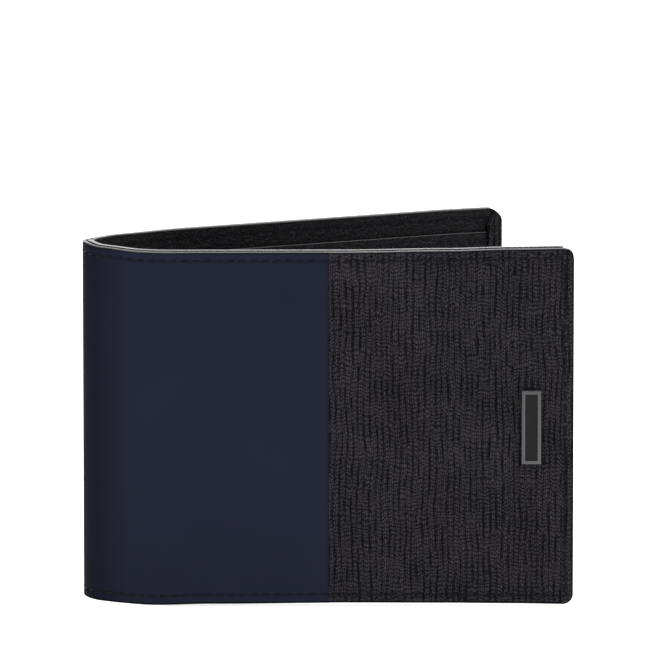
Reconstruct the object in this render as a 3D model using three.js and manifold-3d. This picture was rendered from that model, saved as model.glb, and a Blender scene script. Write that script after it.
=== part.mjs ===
// A slim two-leaf leather billfold, standing on its long edge and a little open. Millimetres, +Z up.
// +X runs from the fold to the free end of the front leaf, and +Y goes in through the wallet to the back leaf.
import * as THREE from "three";
import { mergeVertices } from "three/addons/utils/BufferGeometryUtils.js";
import Module from "manifold-3d";

const wasm = await Module();
wasm.setup();

// Cover outline. Lengths run along the outer face of the leather, from the middle of the fold.
const coverHeight = 84;
const coverHalfLength = 119.4;
const backShorter = 2.1;
const endPanelLength = 57.3;
const cornerRadius = 2.2;

// Bend of the cover at rest: a tight core with an easy flank on each side of it, then a flat leaf.
const coreRadius = 8;
const coreHalfTurn = THREE.MathUtils.degToRad(45);
const flankRadius = 52;
const flankTurn = THREE.MathUtils.degToRad(33);

// Plies, from the outer face inwards.
const plyGap = 0.15;
const navyLeather = 1;
const endPanelProud = 0.25;
const stiffenerBoard = 0.4;
const liningCloth = 0.45;
const hemLip = 0.45;
const billSpace = 0.15;
const billWallLeather = 0.6;
const slipLeather = 0.4;
const pocketLeather = 0.5;

// Hems, pockets and the joints of the fold.
const hemWidth = 3.8;
const hemWall = 0.8;
const billWallDrop = 5.5;
const pocketStep = 11;
const pocketCount = 3;
const pocketFromJoint = 2;
const jointGap = 0.5;
const jointWedge = THREE.MathUtils.degToRad(10.5);
const arcStep = THREE.MathUtils.degToRad(9);

// Nameplate on the front end panel, held by two posts through a backing plate.
const plateWidth = 4.8;
const plateHeight = 17.7;
const plateThickness = 0.9;
const plateBevel = 0.3;
const plateFromFreeEnd = 9.9;
const postRadius = 0.6;
const postClearance = 0.1;
const postSpacing = 10;
const backingWidth = 3.6;
const backingHeight = 14;
const backingThickness = 0.35;

// Depths of the plies below the outer face of the navy leather.
const stiffenerDepth = navyLeather + plyGap;
const liningDepth = stiffenerDepth + stiffenerBoard + plyGap;
const topLipDepth = liningDepth + liningCloth + plyGap;
const billWallDepth = topLipDepth + hemLip + billSpace;
const sideLipDepth = billWallDepth + billWallLeather + plyGap;
const pocketDepth = sideLipDepth + slipLeather + plyGap;

// Places along the cover, from the middle of the fold.
const coreEnd = coreRadius * coreHalfTurn;
const flankEnd = coreEnd + flankRadius * flankTurn;
const coreJoint = coreEnd / 2;
const flankJoint = (coreEnd + flankEnd) / 2;
const leafLength = coverHalfLength - flankEnd;
const backLeafLength = leafLength - backShorter;
const tuck = hemWall + plyGap;

const finishes = {
  navy: { color: 0x25293a, roughness: 0.42, metalness: 0 },
  embossed: { color: 0x252328, roughness: 0.5, metalness: 0 },
  lining: { color: 0x171619, roughness: 0.85, metalness: 0 },
  inner: { color: 0x19181c, roughness: 0.6, metalness: 0 },
  board: { color: 0x6b5a48, roughness: 0.9, metalness: 0 },
  gunmetal: { color: 0x6e6e71, roughness: 0.32, metalness: 0.9 },
};

function solidOf(geometry) {
  const bare = geometry.index ? geometry.toNonIndexed() : geometry.clone();
  bare.deleteAttribute("normal");
  bare.deleteAttribute("uv");
  const merged = mergeVertices(bare, 1e-4);
  const vertProperties = merged.attributes.position.array;
  const triVerts = new Uint32Array(merged.index.array);
  return new wasm.Manifold(new wasm.Mesh({ numProp: 3, vertProperties, triVerts }));
}

function geometryOf(solid) {
  const made = solid.getMesh();
  const geometry = new THREE.BufferGeometry();
  geometry.setAttribute("position", new THREE.BufferAttribute(made.vertProperties, 3));
  geometry.setIndex(new THREE.BufferAttribute(made.triVerts, 1));
  const flat = geometry.toNonIndexed();
  flat.computeVertexNormals();
  return flat;
}

function join(solids) {
  return solids.reduce((whole, next) => whole.add(next));
}

function addPiece(group, name, solid, finish) {
  const mesh = new THREE.Mesh(geometryOf(solid), new THREE.MeshStandardMaterial(finishes[finish]));
  mesh.name = name;
  group.add(mesh);
}

// How far the cover has turned at a distance from the middle of the fold.
function turnAt(distance) {
  if (distance <= coreEnd) return distance / coreRadius;
  return coreHalfTurn + Math.min(distance - coreEnd, flankEnd - coreEnd) / flankRadius;
}

// A point of the plan, with x along the middle line of the V. A place below zero is on the front half.
// depth goes in from the outer face, and slide moves the point along the cover, towards the free end.
function planPoint(place, depth, slide = 0) {
  const distance = Math.abs(place);
  const turn = turnAt(distance);
  const core = Math.min(turn, coreHalfTurn);
  const flat = Math.max(distance - flankEnd, 0) + slide;
  const x =
    coreRadius * (1 - Math.cos(core)) +
    flankRadius * (Math.cos(core) - Math.cos(turn)) +
    flat * Math.sin(turn) +
    depth * Math.cos(turn);
  const y =
    coreRadius * Math.sin(core) +
    flankRadius * (Math.sin(turn) - Math.sin(core)) +
    flat * Math.cos(turn) -
    depth * Math.sin(turn);
  return new THREE.Vector2(x, place < 0 ? -y : y);
}

// Evenly spaced places on the bends, between two places.
function bendPlaces(from, to) {
  const places = [];
  const coreSteps = Math.ceil(coreHalfTurn / arcStep);
  const flankSteps = Math.ceil(flankTurn / arcStep);
  for (let i = 1; i <= coreSteps; i += 1) places.push((coreEnd * i) / coreSteps);
  for (let i = 1; i <= flankSteps; i += 1) {
    places.push(coreEnd + ((flankEnd - coreEnd) * i) / flankSteps);
  }
  const both = [...places.map((place) => -place).reverse(), 0, ...places];
  return both.filter((place) => place > from + jointGap * 2 && place < to - jointGap * 2);
}

// A ply between two places and two depths. An end that meets a joint is cut back by half the joint's
// gap and leans away from it, so that the fold can close.
function ply({ from, to, outer, inner, bottom, top, joints = [] }) {
  const between = bendPlaces(from, to);
  const cutBack = (depth) => jointGap / 2 + Math.max(depth, 0) * Math.tan(jointWedge / 2);
  const endPoint = (place, depth) => {
    if (!joints.includes(place)) return planPoint(place, depth);
    const towardsFreeEnd = (place === from) === place > 0 ? 1 : -1;
    return planPoint(place, depth, cutBack(depth) * towardsFreeEnd);
  };
  const side = (depth) => [
    endPoint(from, depth),
    ...between.map((place) => planPoint(place, depth)),
    endPoint(to, depth),
  ];
  const outline = [...side(outer), ...side(inner).reverse()];
  const geometry = new THREE.ExtrudeGeometry(new THREE.Shape(outline), {
    depth: top - bottom,
    bevelEnabled: false,
  });
  return solidOf(geometry.translate(0, 0, bottom));
}

// Cover leather between two places, turned over the lining at the top and over the bill wall below.
function hemmedLeather(span) {
  const lipInner = sideLipDepth + hemLip;
  return join([
    ply({ ...span, outer: 0, inner: navyLeather, bottom: 0, top: coverHeight }),
    ply({ ...span, outer: 0, inner: lipInner, bottom: 0, top: hemWall }),
    ply({ ...span, outer: sideLipDepth, inner: lipInner, bottom: 0, top: hemWidth }),
    ply({ ...span, outer: 0, inner: topLipDepth + hemLip, bottom: coverHeight - hemWall, top: coverHeight }),
    ply({
      ...span,
      outer: topLipDepth,
      inner: topLipDepth + hemLip,
      bottom: coverHeight - hemWidth,
      top: coverHeight,
    }),
  ]);
}

function liningPly(span) {
  const inner = liningDepth + liningCloth;
  return ply({ ...span, outer: liningDepth, inner, bottom: tuck, top: coverHeight - tuck });
}

function billWallPly(span) {
  const inner = billWallDepth + billWallLeather;
  return ply({ ...span, outer: billWallDepth, inner, bottom: tuck, top: coverHeight - billWallDrop });
}

// One leaf's places run out from the fold, so a span is turned round for the front half.
function leafSpan(sign, near, far, joints = []) {
  const ends = [near * sign, far * sign].sort((a, b) => a - b);
  return { from: ends[0], to: ends[1], joints: joints.map((place) => place * sign) };
}

// A block in a leaf's own frame: x from the start of the flat, depth from the outer face, z up.
function leafBlock(depthSign, x, depth, z) {
  const box = new THREE.BoxGeometry(x[1] - x[0], depth[1] - depth[0], z[1] - z[0]);
  box.translate((x[0] + x[1]) / 2, (depthSign * (depth[0] + depth[1])) / 2, (z[0] + z[1]) / 2);
  return solidOf(box);
}

// A leaf's outline with round corners at its free end, as a prism through all the plies.
function leafOutline(length) {
  const shape = new THREE.Shape();
  const middle = new THREE.Vector2(length - cornerRadius, coverHeight - cornerRadius);
  shape.moveTo(-coverHeight, 0);
  shape.lineTo(middle.x, 0);
  shape.absarc(middle.x, cornerRadius, cornerRadius, -Math.PI / 2, 0);
  shape.absarc(middle.x, middle.y, cornerRadius, 0, Math.PI / 2);
  shape.lineTo(-coverHeight, coverHeight);
  const depth = 4 * (sideLipDepth + hemLip);
  const prism = new THREE.ExtrudeGeometry(shape, { depth, bevelEnabled: false, curveSegments: 4 });
  return solidOf(prism.rotateX(Math.PI / 2).translate(0, depth / 2, 0));
}

// The embossed end of a cover: one plate with its three edges turned in over the inside.
function endPanel(depthSign, length) {
  const start = length - endPanelLength;
  const lipStart = length - hemWidth;
  const outer = -endPanelProud;
  const plateInner = navyLeather - plyGap / 2;
  const lipInner = sideLipDepth + hemLip;
  const topLip = [topLipDepth, topLipDepth + hemLip];
  const sideTop = coverHeight - hemWidth - plyGap;
  const block = (x, depth, z) => leafBlock(depthSign, x, depth, z);
  const whole = join([
    block([start, length], [outer, plateInner], [0, coverHeight]),
    block([start, length], [outer, lipInner], [0, hemWall]),
    block([start, length], [sideLipDepth, lipInner], [0, hemWidth]),
    block([length - hemWall, length], [outer, lipInner], [0, sideTop]),
    block([lipStart, length], [sideLipDepth, lipInner], [0, sideTop]),
    block([length - hemWall, length], [outer, topLip[1]], [0, coverHeight]),
    block([start, length], [outer, topLip[1]], [coverHeight - hemWall, coverHeight]),
    block([start, length], topLip, [coverHeight - hemWidth, coverHeight]),
  ]);
  return whole.intersect(leafOutline(length));
}

function stiffener(depthSign, length) {
  const depth = [stiffenerDepth, stiffenerDepth + stiffenerBoard];
  return leafBlock(depthSign, [0, length - tuck], depth, [tuck, coverHeight - tuck]);
}

// The two post axes of the nameplate, each as a rod of one radius between two depths.
function posts(radius, depth) {
  return [-1, 1].map((end) => {
    const rod = new THREE.CylinderGeometry(radius, radius, depth[1] - depth[0], 12);
    const z = coverHeight / 2 + (end * postSpacing) / 2;
    return solidOf(rod.translate(leafLength - plateFromFreeEnd, (depth[0] + depth[1]) / 2, z));
  });
}

// A block centred on the nameplate.
function plateBlock(width, height, depth) {
  const x = leafLength - plateFromFreeEnd;
  const z = coverHeight / 2;
  return leafBlock(1, [x - width / 2, x + width / 2], depth, [z - height / 2, z + height / 2]);
}

const backingDepth = [navyLeather + plyGap, navyLeather + plyGap + backingThickness];
const postHoleDepth = [-2 * endPanelProud, liningDepth];

function nameplate() {
  const shape = new THREE.Shape();
  const half = new THREE.Vector2(plateWidth / 2 - plateBevel, plateHeight / 2 - plateBevel);
  shape.moveTo(-half.x, -half.y);
  shape.lineTo(half.x, -half.y);
  shape.lineTo(half.x, half.y);
  shape.lineTo(-half.x, half.y);
  const plate = new THREE.ExtrudeGeometry(shape, {
    depth: plateThickness - plateBevel,
    bevelThickness: plateBevel,
    bevelSize: plateBevel,
    bevelSegments: 1,
  });
  plate.rotateX(Math.PI / 2);
  const back = -endPanelProud - plyGap;
  plate.translate(leafLength - plateFromFreeEnd, back, coverHeight / 2);
  const slice = plateBlock(plateWidth * 2, plateHeight * 2, [back - plateThickness * 2, back]);
  const postDepth = [back - plateThickness / 2, backingDepth[1]];
  return join([solidOf(plate).intersect(slice), ...posts(postRadius, postDepth)]);
}

function backingPlate() {
  const plate = plateBlock(backingWidth, backingHeight, backingDepth);
  return plate.subtract(join(posts(postRadius + postClearance, postHoleDepth)));
}

function addLeafPlies(group, half, sign, halfLength) {
  const freeEdge = halfLength - tuck;
  const insideHem = halfLength - hemWidth - 2 * plyGap;
  const joints = [flankJoint];
  const navySpan = leafSpan(sign, flankJoint, halfLength - endPanelLength - plyGap, joints);
  addPiece(group, half + "_navy_panel", hemmedLeather(navySpan), "navy");
  addPiece(group, half + "_lining", liningPly(leafSpan(sign, flankJoint, freeEdge, joints)), "lining");
  addPiece(group, half + "_bill_wall", billWallPly(leafSpan(sign, flankJoint, freeEdge, joints)), "inner");
  const pocketSpan = leafSpan(sign, flankJoint + pocketFromJoint, insideHem);
  const bottom = hemWidth + 2 * plyGap;
  const slipTop = coverHeight - billWallDrop - pocketStep;
  const slipSpan = { ...pocketSpan, outer: sideLipDepth, inner: sideLipDepth + slipLeather };
  addPiece(group, half + "_slip_panel", ply({ ...slipSpan, bottom, top: slipTop }), "inner");
  for (let i = 0; i < pocketCount; i += 1) {
    const outer = pocketDepth + i * (pocketLeather + plyGap);
    const top = slipTop - (i + 1) * pocketStep;
    const solid = ply({ ...pocketSpan, outer, inner: outer + pocketLeather, bottom, top });
    addPiece(group, half + "_card_pocket_" + (i + 1), solid, "inner");
  }
}

function addFoldPlies(group, name, span) {
  addPiece(group, name + "_leather", hemmedLeather(span), "navy");
  addPiece(group, name + "_lining", liningPly(span), "lining");
  addPiece(group, name + "_bill_wall", billWallPly(span), "inner");
}

// A group whose frame sits at the start of a flat leaf, with x along the leaf.
function leafFrame(sign) {
  const frame = new THREE.Group();
  const start = planPoint(sign * flankEnd, 0);
  const turn = coreHalfTurn + flankTurn;
  frame.position.set(start.x, start.y, 0);
  frame.rotation.z = sign * (Math.PI / 2 - turn);
  return frame;
}

function buildFrontFlat() {
  const flat = leafFrame(-1);
  const holes = join(posts(postRadius + postClearance, postHoleDepth));
  addPiece(flat, "front_end_panel", endPanel(1, leafLength).subtract(holes), "embossed");
  const window = plateBlock(backingWidth + 2 * plyGap, backingHeight + 2 * plyGap, postHoleDepth);
  addPiece(flat, "front_stiffener", stiffener(1, leafLength).subtract(window), "board");
  addPiece(flat, "nameplate", nameplate(), "gunmetal");
  addPiece(flat, "nameplate_backing", backingPlate(), "gunmetal");
  return flat;
}

function buildBackFlat() {
  const flat = leafFrame(1);
  addPiece(flat, "back_end_panel", endPanel(-1, backLeafLength), "embossed");
  addPiece(flat, "back_stiffener", stiffener(-1, backLeafLength), "board");
  return flat;
}

// Everything in the frame of the V, whose middle line is then turned so that the front leaf lies on X.
function buildWallet() {
  const opening = new THREE.Group();
  addLeafPlies(opening, "front", -1, coverHalfLength);
  addLeafPlies(opening, "back", 1, coverHalfLength - backShorter);
  const foldJoints = [coreJoint, flankJoint];
  addFoldPlies(opening, "front_fold", leafSpan(-1, coreJoint, flankJoint, foldJoints));
  addFoldPlies(opening, "spine", { from: -coreJoint, to: coreJoint, joints: [-coreJoint, coreJoint] });
  addFoldPlies(opening, "back_fold", leafSpan(1, coreJoint, flankJoint, foldJoints));
  opening.add(buildFrontFlat(), buildBackFlat());
  opening.rotation.z = Math.PI / 2 - coreHalfTurn - flankTurn;
  return opening;
}

// The origin is under the middle of the wallet, on the surface that it stands on.
const group = new THREE.Group();
group.add(buildWallet());
const box = new THREE.Box3().setFromObject(group, true);
const middle = box.getCenter(new THREE.Vector3());
group.position.set(-middle.x, -middle.y, -box.min.z);

export default group;
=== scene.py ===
import math
import bmesh
import bpy
from mathutils import Matrix, Vector


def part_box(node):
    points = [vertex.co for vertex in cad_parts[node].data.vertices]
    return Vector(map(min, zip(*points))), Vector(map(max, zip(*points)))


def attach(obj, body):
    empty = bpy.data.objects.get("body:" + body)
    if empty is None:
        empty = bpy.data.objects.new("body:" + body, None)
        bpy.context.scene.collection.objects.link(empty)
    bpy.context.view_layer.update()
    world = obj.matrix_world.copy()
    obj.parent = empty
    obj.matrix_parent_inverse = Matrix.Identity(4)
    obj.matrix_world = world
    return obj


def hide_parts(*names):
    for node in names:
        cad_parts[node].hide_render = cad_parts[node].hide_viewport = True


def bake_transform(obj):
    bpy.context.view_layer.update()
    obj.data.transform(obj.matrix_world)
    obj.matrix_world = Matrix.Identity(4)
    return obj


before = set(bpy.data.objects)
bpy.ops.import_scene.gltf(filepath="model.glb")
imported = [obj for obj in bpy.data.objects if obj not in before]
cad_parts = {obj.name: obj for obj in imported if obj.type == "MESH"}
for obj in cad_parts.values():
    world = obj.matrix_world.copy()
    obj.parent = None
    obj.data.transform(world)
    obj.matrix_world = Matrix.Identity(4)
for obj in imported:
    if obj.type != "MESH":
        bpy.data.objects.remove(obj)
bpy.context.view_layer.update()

print("frame loaded")

# The wallet's shape, in metres.
wallet = {
    "height": 0.084,
    "frontLength": 0.1194,
    "backLength": 0.1173,
    "endPanel": 0.0573,
    "coreRadius": 0.008,
    "coreTurn": math.radians(45),
    "flankRadius": 0.052,
    "flankTurn": math.radians(33),
    "topCorner": 0.0028,
    "bottomCorner": 0.0024,
}
# Where the bottom and top edges stand along the cover: the leather sags a little round the fold, lifts
# between there and the free end, and flares at the front's free end.
rims = [
    (-0.1194, 0.0007, 0.08555),
    (-0.105, 0.0009, 0.08535),
    (-0.09, 0.001, 0.08495),
    (-0.065, 0.00105, 0.0846),
    (-0.035, 0.0008, 0.08455),
    (-0.017, 0, 0.0842),
    (-0.008, 0, 0.0845),
    (0, 0.0002, 0.08495),
    (0.008, 0, 0.08465),
    (0.025, 0, 0.08415),
    (0.1, 0, 0.08405),
    (0.1173, 0, 0.0838),
]
coreEnd = wallet["coreRadius"] * wallet["coreTurn"]
flankEnd = coreEnd + wallet["flankRadius"] * wallet["flankTurn"]
flankMiddle = (coreEnd + flankEnd) / 2


def halfLength(sign):
    return wallet["frontLength"] if sign < 0 else wallet["backLength"]


def panelStart(sign):
    return halfLength(sign) - wallet["endPanel"]


# Plies, as depths below the navy leather's outer face.
plies = {
    "leather": 0.001,
    "proud": 0.00025,  # how far the end panels stand out
    "lining": (0.0017, 0.00215),
    "topLip": (0.0023, 0.00275),
    "billWall": (0.0029, 0.0035),
    "sideLip": (0.00365, 0.0041),
    "slip": (0.00365, 0.00405),
    "pocketStart": 0.0042,
    "pocketLeather": 0.0005,
    "gap": 0.00015,
    "hem": 0.0038,
    "wall": 0.0008,
}


def planPoint(place, depth):
    distance = abs(place)
    core = min(distance / wallet["coreRadius"], wallet["coreTurn"])
    turn = core + min(max(distance - coreEnd, 0) / wallet["flankRadius"], wallet["flankTurn"])
    flat = max(distance - flankEnd, 0)
    x = wallet["coreRadius"] * (1 - math.cos(core))
    x += wallet["flankRadius"] * (math.cos(core) - math.cos(turn))
    x += flat * math.sin(turn) + depth * math.cos(turn)
    y = wallet["coreRadius"] * math.sin(core)
    y += wallet["flankRadius"] * (math.sin(turn) - math.sin(core))
    y += flat * math.cos(turn) - depth * math.sin(turn)
    halfOpening = math.pi / 2 - wallet["coreTurn"] - wallet["flankTurn"]
    return Matrix.Rotation(halfOpening, 2) @ Vector((x, -y if place < 0 else y))


freeEnd = planPoint(-wallet["frontLength"], 0)
planOrigin = Vector((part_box("front_end_panel")[1][0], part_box("front_navy_panel")[0][1])) - freeEnd


def standingHeight(place, z):
    near, far = next(pair for pair in zip(rims, rims[1:]) if place <= pair[1][0] or pair[1] is rims[-1])
    t = min(max((place - near[0]) / (far[0] - near[0]), 0), 1)
    ease = t * t * (3 - 2 * t)
    low, high = (a + (b - a) * ease for a, b in zip(near[1:], far[1:]))
    return low + (high - low) * z / wallet["height"]


def wrapPoint(place, depth, z):
    plan = planPoint(place, depth) + planOrigin
    return Vector((plan.x, plan.y, standingHeight(place, z)))


patternScale = 10  # pattern units in a metre
sharpAngle = math.radians(50)
tiny = 1e-6


# Flat pieces hold (place, depth, z). Wrapping bends them round the fold and keeps the flat layout as UVs.
def wrapped(bm):
    layer = bm.loops.layers.uv.new("pattern")
    for face in bm.faces:
        for loop in face.loops:
            place, depth, z = loop.vert.co
            loop[layer].uv = ((abs(place) + depth) * patternScale, (z + depth) * patternScale)
    for vert in bm.verts:
        vert.co = wrapPoint(*vert.co)
    return bm


def bevelled(bm, geom, offset, steps, affect):
    shape = {"offset_type": "OFFSET", "segments": steps, "profile": 0.5, "affect": affect, "material": -1}
    bmesh.ops.bevel(bm, geom=geom, offset=offset, **shape)


def extruded(bm, by):
    drawn = bmesh.ops.extrude_face_region(bm, geom=bm.faces[:])
    ends = [part for part in drawn["geom"] if isinstance(part, bmesh.types.BMVert)]
    bmesh.ops.translate(bm, verts=ends, vec=by)


def makeObject(name, bm, material, weighted=True):
    bm.normal_update()
    bmesh.ops.recalc_face_normals(bm, faces=bm.faces)
    mesh = bpy.data.meshes.new(name)
    bm.to_mesh(mesh)
    bm.free()
    mesh.shade_smooth()
    mesh.set_sharp_from_angle(angle=sharpAngle)
    mesh.materials.append(material)
    piece = bpy.data.objects.new(name, mesh)
    bpy.context.scene.collection.objects.link(piece)
    if weighted:
        piece.modifiers.new("flat faces", "WEIGHTED_NORMAL").keep_sharp = True
    return piece


# Materials. A noise is (scale, detail, roughness), and a span holds what becomes 0 and what becomes 1.
class Field:
    def __init__(self, shade, socket):
        self.shade = shade
        self.socket = socket

    def maths(self, operation, *others):
        values = dict(enumerate((self, *others)))
        return self.shade.node("ShaderNodeMath", {"operation": operation}, values)

    def __add__(self, other):
        return self.maths("ADD", other)

    __radd__ = __add__

    def __rsub__(self, other):
        return (self * -1).maths("ADD", other)

    def __sub__(self, other):
        return self.maths("SUBTRACT", other)

    def __mul__(self, other):
        return self.maths("MULTIPLY", other)

    __rmul__ = __mul__

    def __truediv__(self, other):
        return self.maths("DIVIDE", other)

    # Between 0 and 1, as even waves.
    def waves(self):
        return self.maths("SINE") * 0.5 + 0.5

    # One hump for every whole step.
    def humps(self):
        return (self * math.pi).maths("SINE").maths("ABSOLUTE")

    def power(self, exponent):
        return self.maths("POWER", exponent)

    def limited(self, low, high):
        return self.shade.node("ShaderNodeMapRange", {}, {0: self, 1: low, 2: high})


class Shade:
    def __init__(self, name, **fixed):
        self.material = bpy.data.materials.new(name)
        self.material.use_nodes = True
        self.tree = self.material.node_tree
        self.surface = next(n for n in self.tree.nodes if n.type == "BSDF_PRINCIPLED")
        for socket, value in fixed.items():
            self.surface.inputs[socket.replace("_", " ")].default_value = value

    def node(self, kind, settings=None, values=None, output=0):
        made = self.tree.nodes.new(kind)
        for key, value in (settings or {}).items():
            setattr(made, key, value)
        for key, value in (values or {}).items():
            if isinstance(value, Field):
                self.tree.links.new(value.socket, made.inputs[key])
            else:
                made.inputs[key].default_value = value
        return Field(self, made.outputs[output])

    def pattern(self):
        return self.node("ShaderNodeUVMap", {"uv_map": "pattern"})

    def objectPlace(self):
        return self.node("ShaderNodeTexCoord", {}, {}, "Object")

    def stretched(self, source, scale):
        return self.node("ShaderNodeMapping", {}, {"Vector": source, "Scale": scale})

    def noise(self, place, scale, detail=2, roughness=0.5):
        values = {"Vector": place, "Scale": scale, "Detail": detail, "Roughness": roughness}
        return self.node("ShaderNodeTexNoise", {}, values)

    # The first colour where the factor is 0, and the second where it is 1.
    def blend(self, factor, first, second):
        tones = [tone if isinstance(tone, Field) else (*tone, 1) for tone in (first, second)]
        values = {"Factor": factor, 6: tones[0], 7: tones[1]}
        return self.node("ShaderNodeMix", {"data_type": "RGBA"}, values, 2)

    def drive(self, socket, field):
        self.tree.links.new(field.socket, self.surface.inputs[socket])

    def bump(self, height, distance):
        values = {"Height": height, "Distance": distance, "Strength": 1}
        self.drive("Normal", self.node("ShaderNodeBump", {}, values))


# The flat layout, and the distances across and up it in millimetres.
def splitPattern(shade):
    flat = shade.pattern()
    millimetres = 1000 / patternScale
    across = shade.node("ShaderNodeSeparateXYZ", {}, {0: flat}, 0) * millimetres
    upward = shade.node("ShaderNodeSeparateXYZ", {}, {0: flat}, 1) * millimetres
    return flat, across, upward


navyLook = {
    "specular": 0.02,
    "cloud": (2.2, 3),
    "cloudSpan": (0.3, 0.7),
    "pores": (160, 3, 0.6),
    "creases": (42, 2),
    "creaseStretch": (1, 1.6, 1),
    "low": (0.0108, 0.0136, 0.0262),
    "high": (0.0132, 0.0164, 0.0306),
    # The fold's painted shade, and the millimetres from the fold's middle over which it gives way to the
    # tone.
    "foldShade": (0.005, 0.006, 0.0105),
    "foldShadeSpan": (1, 15),
    "roughness": (0.55, 0.1, 0.06),
    "reliefParts": (0.4, 0.6),
    "relief": 0.00002,
}


# Painted shade: darker round the fold, where the leather turns away from the light.
def smoothNavy():
    look = navyLook
    shade = Shade("smoothNavy", Specular_IOR_Level=look["specular"])
    flat, across, _ = splitPattern(shade)
    cloud = shade.noise(flat, *look["cloud"])
    pores = shade.noise(flat, *look["pores"])
    creases = shade.noise(shade.stretched(flat, look["creaseStretch"]), *look["creases"])
    tone = shade.blend(cloud.limited(*look["cloudSpan"]), look["low"], look["high"])
    # Painted shade: the colour darkens towards the fold.
    shade.drive("Base Color", shade.blend(across.limited(*look["foldShadeSpan"]), look["foldShade"], tone))
    rough, byCloud, byPores = look["roughness"]
    shade.drive("Roughness", rough + cloud * byCloud + pores * byPores)
    porePart, creasePart = look["reliefParts"]
    shade.bump(pores * porePart + creases * creasePart, look["relief"])
    return shade.material


# Pitches, sizes and reaches are in millimetres. A reach is how far a noise shifts the pattern.
embossing = {
    "specular": 0.06,
    "wander": (15, 2, 0.5),
    "wanderStretch": (1, 0.45, 1),
    "wanderReach": 2.6,
    "groovePitch": 1.4,
    "grooveShape": 0.65,
    "breaks": (66, 1, 0.5),
    "breakStretch": (1, 0.28, 1),
    "breakSpan": (0.36, 0.62),
    "breakFloor": 0.15,
    "beadWidth": 0.48,
    "beadHeight": 0.95,
    "beadShape": 0.7,
    "beadFloor": 0.34,
    "stray": (70, 1, 0.5),
    "strayStretch": (1, 0.6, 1),
    "strayBeads": 1.2,
    "staggerBeads": 0.55,
    "drift": (24, 2, 0.5),
    "driftBeads": 3.4,
    "patches": (7, 3, 0.6),
    "grain": (230, 3, 0.7),
    "noiseSpan": (0.3, 0.7),
    "beadPart": 0.6,
    "grainPart": 0.4,
    "patchPart": 0.1,
    "litSpan": (0.37, 0.93),
    "litPower": 1.4,
    "low": (0.0005, 0.0005, 0.0007),
    "high": (0.0515, 0.0462, 0.0555),
    "roughness": (0.6, 0.3),
    "relief": 0.00028,
}


# Wandering, broken upright grooves, and between them columns of fine beads.
def embossedBlack():
    look = embossing
    shade = Shade("embossedBlack", Specular_IOR_Level=look["specular"])
    flat, across, upward = splitPattern(shade)
    wander = shade.noise(shade.stretched(flat, look["wanderStretch"]), *look["wander"])
    wandered = across + wander * look["wanderReach"]
    grooves = (wandered / look["groovePitch"]).humps().power(look["grooveShape"])
    breaks = shade.noise(shade.stretched(flat, look["breakStretch"]), *look["breaks"])
    breaks = breaks.limited(*look["breakSpan"]) * (1 - look["breakFloor"]) + look["breakFloor"]
    stray = shade.noise(shade.stretched(flat, look["strayStretch"]), *look["stray"])
    columns = wandered / look["beadWidth"] + stray * look["strayBeads"]
    strips = columns.humps().power(look["beadShape"])
    column = {"W": columns.maths("FLOOR")}
    stagger = shade.node("ShaderNodeTexWhiteNoise", {"noise_dimensions": "1D"}, column)
    drift = shade.noise(flat, *look["drift"]) * look["driftBeads"]
    bars = (upward / look["beadHeight"] + stagger * look["staggerBeads"] + drift).humps()
    patches = shade.noise(flat, *look["patches"]).limited(*look["noiseSpan"])
    grain = shade.noise(flat, *look["grain"]).limited(*look["noiseSpan"])
    beads = look["beadFloor"] + strips * bars * (1 - look["beadFloor"])
    beads = (1 - breaks * (1 - grooves)) * beads
    height = beads * look["beadPart"] + grain * look["grainPart"]
    # Painted shade and highlight: the colour is darkest down in the grooves and between the beads, and
    # lightest on the beads' tops, with patches of random tone.
    lit = (height + patches * look["patchPart"]).limited(*look["litSpan"])
    shade.drive("Base Color", shade.blend(lit.power(look["litPower"]), look["low"], look["high"]))
    rough, byHeight = look["roughness"]
    shade.drive("Roughness", rough - height * byHeight)
    shade.bump(height, look["relief"])
    return shade.material


innerLook = {
    "specular": 0.07,
    "pebbles": 130,
    "wrinkles": (90, 3, 0.65),
    "wrinkleStretch": (0.45, 1.6, 1),
    "wrinkleSpan": (0.3, 0.7),
    "fine": (210, 2, 0.6),
    "fineSpan": (0.33, 0.72),
    "toneParts": (0.4, 0.7),
    "tonePower": 2.4,
    "low": (0.0002, 0.0002, 0.0003),
    "high": (0.04, 0.038, 0.045),
    "roughness": (0.45, 0.25),
    "reliefParts": (0.6, 0.4, 0.4),
    "relief": 0.00016,
}


def grainedBlack():
    look = innerLook
    shade = Shade("grainedBlack", Specular_IOR_Level=look["specular"])
    flat = shade.pattern()
    values = {"Vector": flat, "Scale": look["pebbles"]}
    pebbles = shade.node("ShaderNodeTexVoronoi", {"feature": "SMOOTH_F1"}, values)
    wrinkles = shade.noise(shade.stretched(flat, look["wrinkleStretch"]), *look["wrinkles"])
    wrinkles = wrinkles.limited(*look["wrinkleSpan"])
    fine = shade.noise(flat, *look["fine"]).limited(*look["fineSpan"])
    wrinklePart, finePart = look["toneParts"]
    tone = (wrinkles * wrinklePart + fine * finePart).power(look["tonePower"])
    shade.drive("Base Color", shade.blend(tone, look["low"], look["high"]))
    rough, byFine = look["roughness"]
    shade.drive("Roughness", rough + fine * byFine)
    wrinklePart, pebblePart, finePart = look["reliefParts"]
    shade.bump(wrinkles * wrinklePart - pebbles * pebblePart + fine * finePart, look["relief"])
    return shade.material


# The glossy and dull paints are (specular level, roughness).
paintLook = {
    "glossy": (0.9, 0.16),
    "dull": (0.03, 0.7),
    "ripple": (60, 2),
    "byRipple": 0.12,
    "low": (0.002, 0.0022, 0.0035),
    "high": (0.005, 0.0055, 0.008),
    "relief": 0.00003,
}


def paintedEdge(name, level, roughness):
    look = paintLook
    shade = Shade(name, Specular_IOR_Level=level)
    ripple = shade.noise(shade.pattern(), *look["ripple"])
    shade.drive("Base Color", shade.blend(ripple, look["low"], look["high"]))
    shade.drive("Roughness", roughness + ripple * look["byRipple"])
    shade.bump(ripple, look["relief"])
    return shade.material


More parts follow.
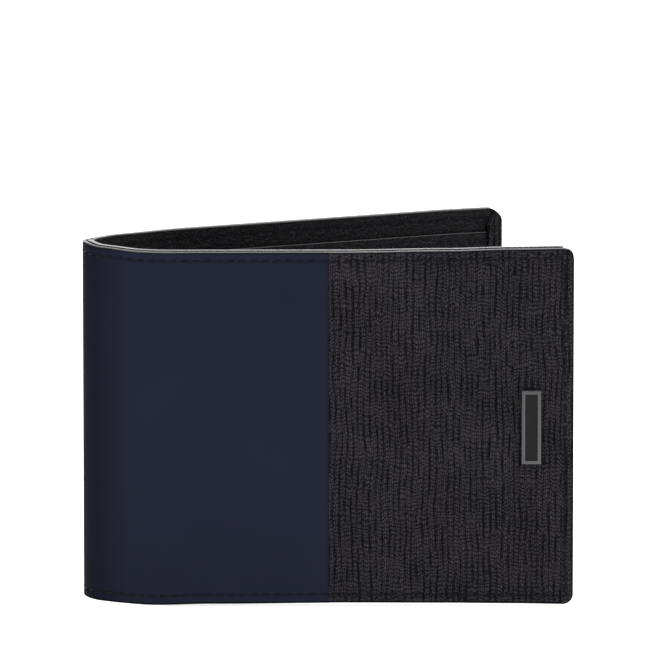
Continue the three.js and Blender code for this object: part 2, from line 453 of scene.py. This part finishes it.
twillLook = {
    "specular": 0.06,
    "sheen": 0.03,
    "lines": 9,
    "fuzz": (200, 2),
    "fuzzPart": 0.5,
    "low": (0.0022, 0.0021, 0.0026),
    "high": (0.0062, 0.006, 0.007),
    "roughness": (0.85, 0.08),
    "relief": 0.00006,
}


def twillLining():
    look = twillLook
    shade = Shade("twillLining", Specular_IOR_Level=look["specular"], Sheen_Weight=look["sheen"])
    flat, across, upward = splitPattern(shade)
    lines = ((across + upward) * look["lines"]).waves()
    shade.drive("Base Color", shade.blend(lines, look["low"], look["high"]))
    rough, byLines = look["roughness"]
    shade.drive("Roughness", rough + lines * byLines)
    shade.bump(lines + shade.noise(flat, *look["fuzz"]) * look["fuzzPart"], look["relief"])
    return shade.material


threadLook = {
    "specular": 0.1,
    "lean": 0.8,
    "twists": 26,
    "low": (0.0007, 0.0008, 0.0016),
    "high": (0.0085, 0.0092, 0.0145),
    "roughness": (0.55, 0.15),
    "relief": 0.00004,
}


def twistedThread():
    look = threadLook
    shade = Shade("twistedThread", Specular_IOR_Level=look["specular"])
    _, across, upward = splitPattern(shade)
    twist = ((across * look["lean"] + upward) * look["twists"]).waves()
    shade.drive("Base Color", shade.blend(twist, look["low"], look["high"]))
    rough, byTwist = look["roughness"]
    shade.drive("Roughness", rough + twist * byTwist)
    shade.bump(twist, look["relief"])
    return shade.material


# The plain and dark metals are (darkest tone, lightest tone, roughness).
metalLook = {
    "plain": (0.06, 0.1, 0.22),
    "dark": (0.014, 0.024, 0.4),
    "blueness": 1.03,
    "brushed": (20, 2),
    "brushStretch": (60, 60, 1500),
    "cloud": (60, 2),
    "byBrush": 0.1,
    "byCloud": 0.08,
    "relief": 0.000008,
}


def gunmetal(name, low, high, roughness):
    look = metalLook
    shade = Shade(name, Metallic=1.0)
    place = shade.objectPlace()
    brushed = shade.noise(shade.stretched(place, look["brushStretch"]), *look["brushed"])
    cloud = shade.noise(place, *look["cloud"])
    low, high = ((tone, tone, tone * look["blueness"]) for tone in (low, high))
    shade.drive("Base Color", shade.blend(brushed, low, high))
    shade.drive("Roughness", roughness + brushed * look["byBrush"] + cloud * look["byCloud"])
    shade.bump(brushed, look["relief"])
    return shade.material


boardLook = {
    "specular": 0.2,
    "fibres": (900, 4),
    "low": (0.09, 0.061, 0.037),
    "high": (0.22, 0.162, 0.102),
    "roughness": (0.85, 0.1),
    "relief": 0.00005,
}


def fibreBoard():
    look = boardLook
    shade = Shade("fibreBoard", Specular_IOR_Level=look["specular"])
    fibres = shade.noise(shade.objectPlace(), *look["fibres"])
    shade.drive("Base Color", shade.blend(fibres, look["low"], look["high"]))
    rough, byFibres = look["roughness"]
    shade.drive("Roughness", rough + fibres * byFibres)
    shade.bump(fibres, look["relief"])
    return shade.material


floorLook = {
    "specular": 0.1,
    "glow": 0.85,
    "cloud": (4, 2),
    "low": (0.9, 0.9, 0.9),
    "high": (0.93, 0.93, 0.93),
    "roughness": (0.8, 0.1),
}


def paleFloor():
    look = floorLook
    shade = Shade("paleFloor", Specular_IOR_Level=look["specular"])
    shade.surface.inputs["Emission Color"].default_value = (1, 1, 1, 1)
    shade.surface.inputs["Emission Strength"].default_value = look["glow"]
    cloud = shade.noise(shade.objectPlace(), *look["cloud"])
    shade.drive("Base Color", shade.blend(cloud, look["low"], look["high"]))
    rough, byCloud = look["roughness"]
    shade.drive("Roughness", rough + cloud * byCloud)
    return shade.material


navy = smoothNavy()
embossed = embossedBlack()
inner = grainedBlack()
glossyEdge = paintedEdge("glossyEdge", *paintLook["glossy"])
dullEdge = paintedEdge("dullEdge", *paintLook["dull"])
twill = twillLining()
thread = twistedThread()
metal = gunmetal("gunmetal", *metalLook["plain"])
darkMetal = gunmetal("darkGunmetal", *metalLook["dark"])
board = fibreBoard()
print("materials ready")

# The cover in four stretches, each across one joint, with where its bend lies and the two bodies on either
# side. Neighbours meet at the cut between them. A stretch's piece only has its transform baked.
stretches = {
    "Front": {"span": (-wallet["frontLength"], -coreEnd), "bend": (-flankEnd, -coreEnd)},
    "FrontCore": {"span": (-coreEnd, 0), "bend": (-coreEnd, 0)},
    "BackCore": {"span": (0, coreEnd), "bend": (0, coreEnd)},
    "Back": {"span": (coreEnd, wallet["backLength"]), "bend": (coreEnd, flankEnd)},
}
stretches["Front"]["bodies"] = ("front_leaf", "front_fold")
stretches["FrontCore"]["bodies"] = ("front_fold", "spine")
stretches["BackCore"]["bodies"] = ("spine", "back_fold")
stretches["Back"]["bodies"] = ("back_fold", "back_leaf")


def followFold(piece, stretch):
    facts = stretches[stretch]
    start, end = (wrapPoint(place, 0, wallet["height"] / 2) for place in facts["bend"])
    start.z = end.z = 0
    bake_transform(piece)


# Covers.
coverEdge = {
    "rounding": 0.0004,
    "sideRounding": 0.0009,
    "lipRounding": 0.00015,
    "seamInset": 0.0022,
    "seamDip": 0.00024,
    "seamHalf": 0.0005,
    "edgeGap": 0.00015,  # between the cover leather and the facing inside it
    "facingRise": 0.0002,  # how far the facing's edge stands above the cover's
    "paintLap": 0.0001,  # how far the edge paint laps onto the cover's face
    "facingDepth": 0.009,
    "facingInset": 0.0026,
    "steps": 5,
    "stationSpacing": 0.0012,
    "coreSpacing": 0.0003,
    "paintTop": 0.4,  # how far up a face of the top edge must look to be painted
    "paintBottom": -0.55,
    "rimMargin": 0.002,  # from the hem to where the rim's rows end
    "rimFill": 0.0002,  # between the top rim's spare rows
}


# Outlines are loops of (depth, z, rounding).
def coverOutline():
    top, dip, half = wallet["height"], coverEdge["seamDip"], coverEdge["seamHalf"]
    seam, edge, small = coverEdge["seamInset"], coverEdge["rounding"], coverEdge["lipRounding"]
    bottomSeam = [(0, seam - half, 0), (dip, seam, small), (0, seam + half, 0)]
    topSeam = [(0, top - seam - half, 0), (dip, top - seam, small), (0, top - seam + half, 0)]
    edges = [(0, top, edge), (plies["leather"], top, small), (plies["leather"], 0, small)]
    lap = edge + coverEdge["paintLap"]
    return [(0, 0, edge), (0, lap, 0), *bottomSeam, *topSeam, (0, top - lap, 0), *edges]


def topFacingOutline():
    top, near = wallet["height"], plies["leather"] + coverEdge["edgeGap"]
    far, wall, small = plies["topLip"][1], plies["wall"], coverEdge["lipRounding"]
    low = top - coverEdge["facingDepth"]
    seam, half, dip = coverEdge["seamInset"], coverEdge["seamHalf"], coverEdge["seamDip"]
    inside = [(far, top - seam + half, 0), (far - dip, top - seam, small), (far, top - seam - half, 0)]
    lip = [(far, low, 0), (plies["topLip"][0], low, 0), (plies["topLip"][0], top - wall, 0)]
    rim = top + coverEdge["facingRise"]
    return [(near, rim, small), (far, rim, coverEdge["rounding"]), *inside, *lip, (near, top - wall, 0)]


def bottomFacingOutline():
    near, far = plies["leather"] + coverEdge["edgeGap"], plies["sideLip"][1]
    wall, small = plies["wall"], coverEdge["lipRounding"]
    lip, hem = plies["sideLip"][0], plies["hem"]
    inside = [(lip, wall, 0), (lip, hem, 0), (far, hem, small)]
    return [(near, 0, small), (near, wall, 0), *inside, (far, 0, coverEdge["rounding"])]


# A closed outline drawn out along the cover from one place to another.
def drawnOut(outline, span, spacing):
    bm = bmesh.new()
    corners = [bm.verts.new((span[0], depth, z)) for depth, z, _ in outline]
    bm.faces.new(corners)
    radii = [radius for _, _, radius in outline]
    for radius in sorted(set(radii) - {0}):
        own = [corner for corner, cornerRadius in zip(corners, radii) if cornerRadius == radius]
        bevelled(bm, own, radius, coverEdge["steps"], "VERTICES")
    extruded(bm, (span[1] - span[0], 0, 0))
    long = [edge for edge in bm.edges if abs(edge.verts[0].co.x - edge.verts[1].co.x) > tiny]
    cuts = max(int((span[1] - span[0]) / spacing), 1)
    bmesh.ops.subdivide_edges(bm, edges=long, cuts=cuts)
    return bm


# The cut edges of the leather are painted: top edges take the second material, and the rest the third.
def paintEdges(bm, top):
    lap = coverEdge["rounding"] + coverEdge["paintLap"]
    bm.normal_update()
    bmesh.ops.recalc_face_normals(bm, faces=bm.faces)
    for face in bm.faces:
        middle = face.calc_center_median()
        if middle.z > top - coverEdge["rounding"] and face.normal.z > coverEdge["paintTop"]:
            face.material_index = 1
        elif middle.y < coverEdge["rounding"] and not lap < middle.z < top - lap:
            face.material_index = 2
        elif middle.z < coverEdge["rounding"] and face.normal.z < coverEdge["paintBottom"]:
            face.material_index = 2


def makeStretch(name, outline, span, stretch, material, nodes, painted=False):
    spacing = coverEdge["coreSpacing"] if "Core" in stretch else coverEdge["stationSpacing"]
    bm = drawnOut(outline, span, spacing)
    if painted:
        paintEdges(bm, max(z for _, z, _ in outline))
    piece = makeObject(name + stretch, wrapped(bm), material)
    if painted:
        piece.data.materials.append(glossyEdge)
        piece.data.materials.append(dullEdge)
    followFold(piece, stretch)
    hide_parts(*nodes)
    return piece


def clipped(span, inset):
    return max(span[0], inset - wallet["frontLength"]), min(span[1], wallet["backLength"] - inset)


foldNodes = {
    "Front": ["front_{}"],
    "FrontCore": ["front_fold_{}"],
    "BackCore": ["spine_{}", "back_fold_{}"],
    "Back": ["back_{}"],
}
leatherNodes = {"Front": ["front_navy_panel"], "Back": ["back_navy_panel"]}
for stretch, facts in stretches.items():
    nodes = leatherNodes.get(stretch) or [n.format("leather") for n in foldNodes[stretch]]
    span = clipped(facts["span"], wallet["endPanel"])
    makeStretch("navyCover", coverOutline(), span, stretch, navy, nodes, True)
    makeStretch("bottomFacing", bottomFacingOutline(), span, stretch, inner, nodes, True)
    span = clipped(facts["span"], coverEdge["facingInset"])
    makeStretch("topFacing", topFacingOutline(), span, stretch, inner, nodes, True)


def rounded(inset, depth, radius, outwards):
    turns = [math.pi / 2 * i / coverEdge["steps"] for i in range(coverEdge["steps"] + 1)]
    if outwards:
        return [(inset + radius * (1 - math.sin(a)), depth + radius * (1 - math.cos(a))) for a in turns]
    return [(inset + radius * (1 - math.cos(a)), depth - radius * (1 - math.sin(a))) for a in turns]


# Rows of (inset from the edge, depth) round the rim of an end panel. The sides are turned in over the bill
# wall, and the top is cut flush against the facing.
rimBody = plies["hem"] + coverEdge["rimMargin"]


def rimFace(edge):
    outer, half, seam = -plies["proud"], coverEdge["seamHalf"], coverEdge["seamInset"]
    groove = [(seam + half, outer), (seam, outer + coverEdge["seamDip"]), (seam - half, outer)]
    lap = (edge + coverEdge["paintLap"], outer)
    return [(rimBody, outer), *groove, lap, *rounded(0, outer, edge, True)]


def sideRim():
    hem, lip, small = plies["hem"], plies["sideLip"], coverEdge["lipRounding"]
    rim = rimFace(coverEdge["sideRounding"]) + rounded(0, lip[1], coverEdge["rounding"], False)
    rim += [(hem - small, lip[1]), (hem, lip[1] - small), (hem, lip[0]), (plies["wall"], lip[0])]
    return rim + [(plies["wall"], plies["leather"]), (rimBody, plies["leather"])]


def topRim():
    back, fill = plies["leather"], coverEdge["rimFill"]
    rim = rimFace(coverEdge["rounding"]) + rounded(0, back, coverEdge["lipRounding"], False)
    spare = len(sideRim()) - len(rim) - 1
    return rim + [(fill + fill * i, back) for i in range(spare)] + [(rimBody, back)]


# The rim's rows that the edge paint covers, and how many stations its straights and corners have.
paintedRows = {"top": 4, "side": 7, "end": 6 + coverEdge["steps"]}
rimSteps = {"straight": 16, "bottomCorner": 8, "topCorner": 12}


# Stations round the bottom, free and top edges of an end panel: where an inset lies, and how much of the
# top's rim is in the station's rim.
def rimStations(sign):
    far, top, start = halfLength(sign), wallet["height"], panelStart(sign)
    low, high = wallet["bottomCorner"], wallet["topCorner"]
    steps, bottomSteps, topSteps = rimSteps["straight"], rimSteps["bottomCorner"], rimSteps["topCorner"]
    straight = [start + (far - low - start) * i / steps for i in range(steps)]
    stations = [(lambda inset, x=x: (x, inset), 0) for x in straight]

    def corner(radius, up, angle):
        def at(inset):
            turn, extra = max(radius - inset, 0), max(inset - radius, 0)
            centre = top - radius if up else radius
            x = far - radius + turn * math.cos(angle) - extra
            return x, centre + turn * math.sin(angle) + (-extra if up else extra)

        return at

    turns = [math.pi / 2 * (i / bottomSteps - 1) for i in range(bottomSteps + 1)]
    stations += [(corner(low, False, turn), 0) for turn in turns]
    rise = [low + (top - low - high) * i / steps for i in range(1, steps)]
    stations += [(lambda inset, z=z: (far - inset, z), 0) for z in rise]
    ease = [i / topSteps for i in range(topSteps + 1)]
    stations += [(corner(high, True, math.pi / 2 * t), t * t * (3 - 2 * t)) for t in ease]
    straight = [far - high + (start - far + high) * i / steps for i in range(1, steps + 1)]
    stations += [(lambda inset, x=x: (x, top - inset), 1) for x in straight]
    return stations


def rimmedPanel(sign):
    bm = bmesh.new()
    rows = []
    for at, topness in rimStations(sign):
        rim = [Vector(side).lerp(Vector(top), topness) for side, top in zip(sideRim(), topRim())]
        places = []
        for inset, depth in rim:
            x, z = at(inset)
            places.append((x * sign, depth, z))
        if not rows:
            row = [bm.verts.new(place) for place in places]
            edges = [bm.edges.new(pair) for pair in zip(row, row[1:])]
        else:
            drawn = bmesh.ops.extrude_edge_only(bm, edges=edges)["geom"]
            fresh = {part for part in drawn if isinstance(part, bmesh.types.BMVert)}
            row = [next(e.other_vert(v) for e in v.link_edges if e.other_vert(v) in fresh) for v in rows[-1]]
            edges = [part for part in drawn if isinstance(part, bmesh.types.BMEdge)]
            edges = [edge for edge in edges if set(edge.verts) <= fresh]
            for vert, place in zip(row, places):
                vert.co = place
        rows.append(row)
    outside = bm.faces.new([row[0] for row in rows])
    inside = bm.faces.new([row[-1] for row in rows])
    cut = bm.faces.new(rows[0] + rows[-1][::-1])
    bmesh.ops.triangulate(bm, faces=[outside, inside, cut])
    lapped = set()
    for row, (_, topness) in zip(rows, rimStations(sign)):
        first = paintedRows["top" if topness > 0.5 else "side"]
        lapped.update(row[first : paintedRows["end"]])
    for face in bm.faces:
        if lapped.issuperset(face.verts):
            face.material_index = 2
    bmesh.ops.remove_doubles(bm, verts=bm.verts, dist=tiny)
    paintEdges(bm, wallet["height"])
    return bm


for side, sign in (("front", -1), ("back", 1)):
    panel = makeObject(side + "EndPanel", wrapped(rimmedPanel(sign)), embossed)
    panel.data.materials.append(glossyEdge)
    panel.data.materials.append(dullEdge)
    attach(panel, side + "_leaf")
    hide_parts(side + "_end_panel")
print("covers made")

# Lining, bill walls and pockets.
innerFit = {
    "edge": 0.00018,
    "crease": 0.00012,
    "creaseInset": 0.0013,
    "creaseHalf": 0.0003,
    "billDrop": 0.0055,
    "pocketStep": 0.011,
    "pocketCount": 3,
    "pocketFromJoint": 0.002,
    "liningTuck": 0.0013,
}
tuck = plies["wall"] + plies["gap"]


def sheetOutline(depth, bottom, top, creased):
    edge, dip = innerFit["edge"], innerFit["crease"] if creased else 0
    crease, half = top - innerFit["creaseInset"], innerFit["creaseHalf"]
    inside = [(depth[1], crease + half, 0), (depth[1] - dip, crease, 0), (depth[1], crease - half, 0)]
    ends = [(depth[0], bottom, 0), (depth[0], top, edge), (depth[1], top, edge)]
    return ends + inside + [(depth[1], bottom, 0)]


for stretch, facts in stretches.items():
    inset = innerFit["liningTuck"]
    span = clipped(facts["span"], inset)
    cloth = sheetOutline(plies["lining"], inset, wallet["height"] - inset, False)
    nodes = [name.format("lining") for name in foldNodes[stretch]]
    makeStretch("lining", cloth, span, stretch, twill, nodes)
    span = clipped(facts["span"], tuck)
    wall = sheetOutline(plies["billWall"], tuck, wallet["height"] - innerFit["billDrop"], True)
    nodes = [name.format("bill_wall") for name in foldNodes[stretch]]
    makeStretch("billWall", wall, span, stretch, inner, nodes, True)

# The cloth's flat size on each leaf, from the fold's core to its tucked-in end.
for leaf, sign in (("Front", -1), ("Back", 1)):
    inset = innerFit["liningTuck"]
    flat = (halfLength(sign) - inset - coreEnd, wallet["height"] - 2 * inset)

pocketNear = flankMiddle + innerFit["pocketFromJoint"]
pocketInset = plies["hem"] + 2 * plies["gap"]
slipTop = wallet["height"] - innerFit["billDrop"] - innerFit["pocketStep"]
pocketTops = [slipTop - innerFit["pocketStep"] * (i + 1) for i in range(innerFit["pocketCount"])]
pocketPitch = plies["pocketLeather"] + plies["gap"]
pocketFaces = [plies["pocketStart"] + i * pocketPitch for i in range(innerFit["pocketCount"])]
for stretch, side, sign in (("Front", "front", -1), ("Back", "back", 1)):
    span = tuple(sorted((pocketNear * sign, (halfLength(sign) - pocketInset) * sign)))
    slip = sheetOutline(plies["slip"], pocketInset, slipTop, True)
    makeStretch("slipPanel", slip, span, stretch, inner, [side + "_slip_panel"])
    for i, (face, top) in enumerate(zip(pocketFaces, pocketTops)):
        pocket = sheetOutline((face, face + plies["pocketLeather"]), pocketInset, top, True)
        nodes = [f"{side}_card_pocket_{i + 1}"]
        makeStretch(f"cardPocket{i + 1}", pocket, span, stretch, inner, nodes)
print("lining, bill walls and pockets made")

# Stiffening boards, between the leather and the lining of each leaf. The front one has a window for the
# nameplate's backing plate.
boardCut = {
    "depth": (0.00115, 0.00155),
    "tuck": 0.0014,
    "corner": 0.0022,
    "cornerSteps": 6,
    "windowGap": 0.0003,
}
plateLow, plateHigh = (Vector(corner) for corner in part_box("nameplate"))
backingLow, backingHigh = (Vector(corner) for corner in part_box("nameplate_backing"))
leafEnd = wrapPoint(-wallet["frontLength"], 0, 0)


def stiffeningBoard(sign, window):
    near, far = flankEnd * sign, (halfLength(sign) - boardCut["tuck"]) * sign
    low, high = boardCut["tuck"], wallet["height"] - boardCut["tuck"]
    outer, inward = boardCut["depth"]
    bm = bmesh.new()
    outline = ((near, low), (far, low), (far, high), (near, high))
    corners = [bm.verts.new((x, outer, z)) for x, z in outline]
    bm.faces.new(corners)
    bevelled(bm, corners[1:3], boardCut["corner"], boardCut["cornerSteps"], "VERTICES")
    if window:
        for plane, axis in ((window[0], 0), (window[1], 0), (window[2], 2), (window[3], 2)):
            point, normal = Vector((0, 0, 0)), Vector((0, 0, 0))
            point[axis] = plane
            normal[axis] = 1
            everything = bm.verts[:] + bm.edges[:] + bm.faces[:]
            bmesh.ops.bisect_plane(bm, geom=everything, plane_co=point, plane_no=normal)
        cut = [face for face in bm.faces if insideWindow(face.calc_center_median(), window)]
        bmesh.ops.delete(bm, geom=cut, context="FACES")
    extruded(bm, (0, inward - outer, 0))
    return bm


def insideWindow(point, window):
    return window[0] < point.x < window[1] and window[2] < point.z < window[3]


# Where a point of the front leaf with this x lies along the cover.
def frontPlace(x):
    return leafEnd.x - x - wallet["frontLength"]


gap = boardCut["windowGap"]
plateWindow = [frontPlace(backingHigh.x) - gap, frontPlace(backingLow.x) + gap]
plateWindow += [backingLow.z - gap, backingHigh.z + gap]
for side, sign, window in (("front", -1, plateWindow), ("back", 1, None)):
    piece = makeObject(side + "Board", wrapped(stiffeningBoard(sign, window)), board)
    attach(piece, side + "_leaf")
    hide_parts(side + "_stiffener")
print("boards made")

# Stitching.
stitch = {
    "pitch": 0.0027,
    "length": 0.0022,
    "width": 0.0006,
    "height": 0.00048,
    "slant": math.radians(10),
    "sides": 6,
    "rings": 5,
    "sink": 0.6,  # of the seam's dip
    "endInset": 0.002,
    "billInset": 0.0026,
    "pocketInset": 0.0016,
}


# Evenly pitched stitches between two places on a straight seam in the flat layout.
def seam(start, end):
    start, end = Vector(start), Vector(end)
    count = max(round((end - start).length / stitch["pitch"]), 1)
    along = (end - start).normalized()
    return [(start.lerp(end, (i + 0.5) / count), along) for i in range(count)]


def allSeams():
    top, inset = wallet["height"], coverEdge["seamInset"]
    dip = coverEdge["seamDip"] * stitch["sink"]
    proud = dip - plies["proud"]
    seams = []
    for sign in (-1, 1):
        far = halfLength(sign)
        reach, edge = (far - stitch["endInset"]) * sign, panelStart(sign) * sign
        for z, inside in ((top - inset, plies["topLip"][1] - dip), (inset, plies["sideLip"][1])):
            seams += seam((0, dip, z), (edge, dip, z))
            seams += seam((edge, proud, z), (reach, proud, z))
            seams += seam((0, inside, z), (reach - plies["wall"] * sign, inside, z))
        for depth in (proud, plies["sideLip"][1]):
            seams += seam((reach, depth, inset), (reach, depth, top - plies["hem"]))
        billTop = top - innerFit["billDrop"] - stitch["billInset"]
        wall = plies["billWall"][1]
        seams += seam((0, wall, billTop), ((far - plies["hem"]) * sign, wall, billTop))
        near = (pocketNear + stitch["pocketInset"]) * sign
        levels = [slipTop, *pocketTops, pocketInset]
        faces = [plies["slip"][1], *(face + plies["pocketLeather"] for face in pocketFaces)]
        for face, high, low in zip(faces, levels, levels[1:]):
            seams += seam((near, face, low), (near, face, high))
    return seams


def threadMesh(seams, span):
    bm = bmesh.new()
    size = Matrix.Diagonal((stitch["length"], stitch["height"], stitch["width"], 1))
    lean = Matrix.Rotation(stitch["slant"], 4, "Y")
    for centre, along in seams:
        if not span[0] <= centre.x < span[1]:
            continue
        turn = Matrix.Rotation(-math.pi / 2, 4, "Y") if abs(along.z) > 0.5 else Matrix.Identity(4)
        place = Matrix.Translation(centre) @ turn @ lean @ size
        sides, rings = stitch["sides"], stitch["rings"]
        bmesh.ops.create_uvsphere(bm, u_segments=sides, v_segments=rings, radius=0.5, matrix=place)
    return bm


seams = allSeams()
for stretch, facts in stretches.items():
    bm = wrapped(threadMesh(seams, facts["span"]))
    piece = makeObject("thread" + stretch, bm, thread, weighted=False)
    followFold(piece, stretch)
print("stitching made")

# Nameplate.
plate = {
    "bevel": 0.00045,
    "bevelSteps": 3,
    "rim": 0.0007,
    "recess": 0.0003,
    "slope": 0.0002,
    "leatherGap": 0.00002,
    "backingBevel": 0.0001,
}
plateMiddle = (plateLow + plateHigh) / 2
plateLift = standingHeight(frontPlace(plateMiddle.x), plateMiddle.z) - plateMiddle.z


def slab(low, high):
    bm = bmesh.new()
    size = Matrix.Diagonal((*(high - low), 1))
    middle = (low + high) / 2 + Vector((0, 0, plateLift))
    bmesh.ops.create_cube(bm, size=1, matrix=Matrix.Translation(middle) @ size)
    return bm


def nameplateMesh():
    rear = leafEnd.y - plies["proud"] - plate["leatherGap"]
    bm = slab(plateLow, Vector((plateHigh.x, rear, plateHigh.z)))
    front = [edge for edge in bm.edges if all(vert.co.y < rear - tiny for vert in edge.verts)]
    bevelled(bm, front, plate["bevel"], plate["bevelSteps"], "EDGES")
    face = min(bm.faces, key=lambda f: f.calc_center_median().y)
    bmesh.ops.inset_region(bm, faces=[face], thickness=plate["rim"], depth=0)
    bmesh.ops.inset_region(bm, faces=[face], thickness=plate["slope"], depth=-plate["recess"])
    face.material_index = 1
    return bm


nameplate = makeObject("nameplateFace", nameplateMesh(), metal)
nameplate.data.materials.append(darkMetal)
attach(nameplate, "front_leaf")
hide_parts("nameplate")

bm = slab(backingLow, backingHigh)
bevelled(bm, bm.edges[:], plate["backingBevel"], plate["bevelSteps"], "EDGES")
backing = makeObject("backingPlate", bm, metal)
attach(backing, "front_leaf")
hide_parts("nameplate_backing")
print("nameplate made")

# Floor, light and camera.
studio = {
    "floorSize": 12,
    "distance": 2.5,
    "elevation": math.radians(9.9),
    "frameWidth": 0.15445,
    "aim": (0.00065, leafEnd.y, 0.066),
    "sensor": 36,
    "clipEnd": 20,
    "worldStrength": 0.35,
}
# Each light is (place, target, size, watts).
lights = {
    "overhead": ((0, 0.25, 1.4), (0, 0, 0.04), (1.6, 1.6), 22),
    "behind": ((0, 1.7, 0.62), (0, 0, 0.06), (1.6, 0.5), 5),
    "frontLeft": ((-1.3, -1.5, 1.0), (0, 0, 0.04), (0.9, 0.9), 7),
    "frontRight": ((1.4, -1.2, 0.8), (0, 0, 0.04), (0.9, 0.9), 7),
}

bm = bmesh.new()
bmesh.ops.create_grid(bm, x_segments=1, y_segments=1, size=studio["floorSize"] / 2)
floor = makeObject("paleFloor", bm, paleFloor(), weighted=False)


def softbox(name, place, target, size, watts):
    data = bpy.data.lights.new(name, "AREA")
    data.shape = "RECTANGLE"
    data.size, data.size_y = size
    data.energy = watts
    lamp = bpy.data.objects.new(name, data)
    lamp.location = place
    lamp.rotation_euler = (Vector(target) - Vector(place)).to_track_quat("-Z", "Y").to_euler()
    bpy.context.scene.collection.objects.link(lamp)


for name, facts in lights.items():
    softbox(name, *facts)

world = bpy.data.worlds.new("studio")
world.use_nodes = True
backdrop = world.node_tree.nodes["Background"]
backdrop.inputs["Color"].default_value = (1, 1, 1, 1)
backdrop.inputs["Strength"].default_value = studio["worldStrength"]
bpy.context.scene.world = world
bpy.context.scene.view_settings.view_transform = "Standard"

cameraData = bpy.data.cameras.new("camera")
cameraData.sensor_width = studio["sensor"]
cameraData.lens = studio["sensor"] * studio["distance"] / studio["frameWidth"]
cameraData.clip_end = studio["clipEnd"]
camera = bpy.data.objects.new("camera", cameraData)
back = Vector((0, -math.cos(studio["elevation"]), math.sin(studio["elevation"])))
camera.location = Vector(studio["aim"]) + back * studio["distance"]
camera.rotation_euler = (-back).to_track_quat("-Z", "Y").to_euler()
bpy.context.scene.collection.objects.link(camera)
bpy.context.scene.camera = camera
print("studio ready")
